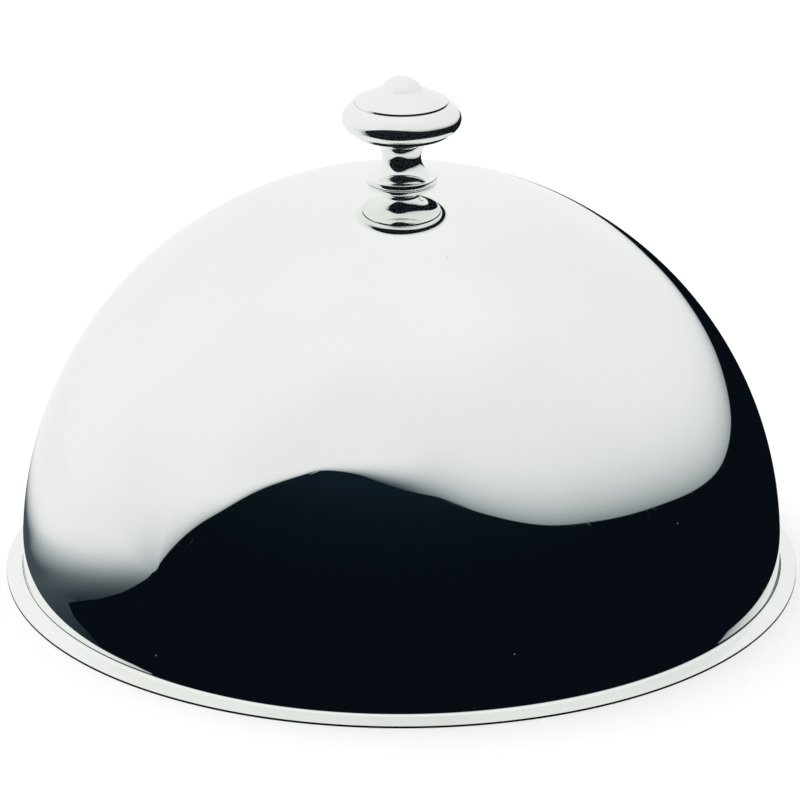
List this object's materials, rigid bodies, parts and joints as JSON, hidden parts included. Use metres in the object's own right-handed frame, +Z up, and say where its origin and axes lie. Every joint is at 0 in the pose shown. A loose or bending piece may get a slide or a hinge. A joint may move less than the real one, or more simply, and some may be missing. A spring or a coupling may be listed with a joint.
{
  "type": "food cover",
  "caption": "Polished metal dome with a small flared rim and a turned mushroom knob, set over a plate or tray of food to keep it warm and clean.",
  "frame": {"origin": "on the axis of the dome, in the plane on which the rim rests", "axes": "+Z up along the axis of the dome and knob, -Y towards the camera of the picture, +X to the right in it"},
  "size_m": [0.2574, 0.2574, 0.169],
  "materials": {
    "polished_metal": "mirror polished outside, satin spun inside",
    "polished_knob": "mirror polished",
    "seat_rubber": "matt",
    "plain_steel": "plain turned",
    "bright_nut": "bright"
  },
  "bodies": {
    "root": {"dome_shell": "polished_metal", "seat_gasket": "seat_rubber", "knob_stem": "polished_knob", "cap_bowl": "polished_knob", "cap_crown": "polished_knob", "tie_stud": "plain_steel", "backing_washer": "plain_steel", "spring_washer": "plain_steel", "cap_nut": "bright_nut"}
  },
  "joints": []
}
